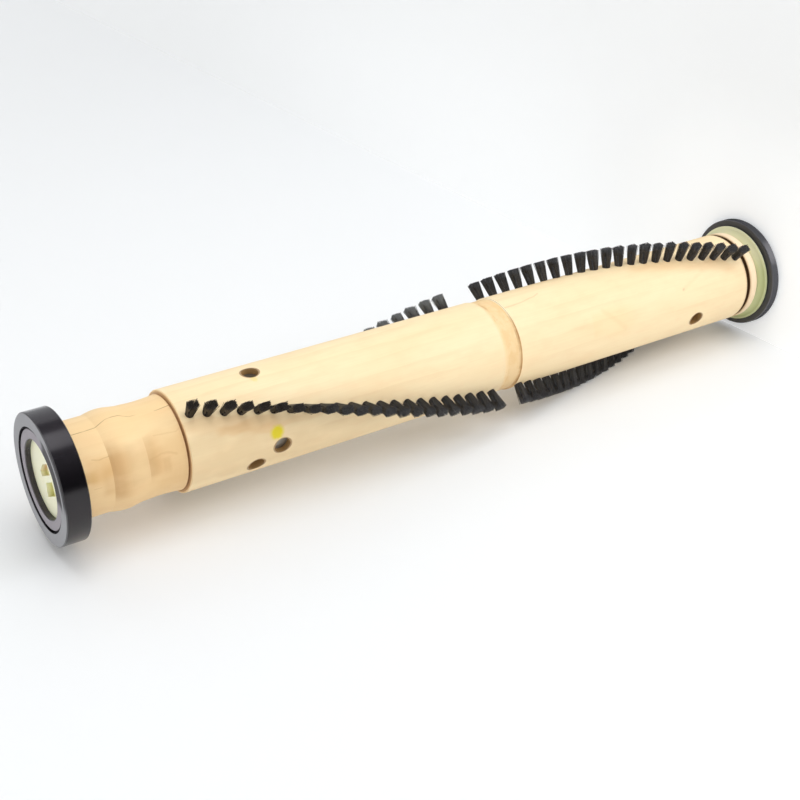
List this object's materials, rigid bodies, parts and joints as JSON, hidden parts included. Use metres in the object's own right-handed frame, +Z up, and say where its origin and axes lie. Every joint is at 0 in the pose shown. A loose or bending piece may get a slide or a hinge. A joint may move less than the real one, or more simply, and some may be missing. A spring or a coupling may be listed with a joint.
{
  "type": "vacuum brush roll",
  "caption": "Wooden vacuum brush roll with helical rows of black bristle tufts, a crowned belt neck, and a nylon cap in a rubber ring on a ball bearing at each end.",
  "frame": {"origin": "The middle of the foot, on the roll's axis, in the plane of the lower rubber ring's outer face that it stands on.", "axes": "+Z runs up the roll's axis from the lower cap to the belt neck. +X points where tuft angles are counted from."},
  "size_m": [0.0546, 0.0546, 0.3302],
  "materials": {
    "maple": "sanded and clear sealed",
    "bristle": "nylon filament",
    "plated_wire": "flat plated wire",
    "grey_metal": "dull grey",
    "black_rubber": "satin moulded",
    "cream_nylon": "moulded satin",
    "grey_felt": "pressed felt",
    "axle_steel": "turned",
    "race_steel": "ground",
    "ball_steel": "polished",
    "cage_nylon": "moulded",
    "shield_steel": "pressed sheet"
  },
  "bodies": {
    "lower_cap": {"lower_rubber_ring": "black_rubber", "lower_end_cap": "cream_nylon", "lower_felt_washer": "grey_felt", "lower_axle_pin": "axle_steel", "lower_inner_race": "race_steel"},
    "roll": {"wooden_roll": "maple", "upper_front_tufts": "bristle", "upper_back_tufts": "bristle", "lower_front_tufts": "bristle", "lower_back_tufts": "bristle", "tuft_anchors": "plated_wire", "balance_slugs": "grey_metal", "upper_outer_race": "race_steel", "upper_bearing_shields": "shield_steel", "lower_outer_race": "race_steel", "lower_bearing_shields": "shield_steel"},
    "upper_cap": {"upper_rubber_ring": "black_rubber", "upper_end_cap": "cream_nylon", "upper_felt_washer": "grey_felt", "upper_axle_pin": "axle_steel", "upper_inner_race": "race_steel"},
    "lower_ball_set": {"lower_bearing_balls": "ball_steel", "lower_ball_cage": "cage_nylon"},
    "upper_ball_set": {"upper_bearing_balls": "ball_steel", "upper_ball_cage": "cage_nylon"}
  },
  "joints": [
    {"name": "roll_spin", "type": "hinge", "parent": "lower_cap", "child": "roll", "pos_m": [0, 0, 0.0119], "axis": [0, 0, 1], "continuous": true},
    {"name": "upper_cap_spin", "type": "hinge", "parent": "roll", "child": "upper_cap", "pos_m": [0, 0, 0.31646], "axis": [0, 0, 1], "continuous": true},
    {"name": "lower_ball_set_spin", "type": "hinge", "parent": "lower_cap", "child": "lower_ball_set", "pos_m": [0, 0, 0.0119], "axis": [0, 0, 1], "continuous": true},
    {"name": "upper_ball_set_spin", "type": "hinge", "parent": "roll", "child": "upper_ball_set", "pos_m": [0, 0, 0.31646], "axis": [0, 0, 1], "continuous": true}
  ],
  "couplings": [
    {"joint": "lower_ball_set_spin", "follows": "roll_spin", "ratio": 0.6323},
    {"joint": "upper_ball_set_spin", "follows": "upper_cap_spin", "ratio": 0.3677}
  ]
}
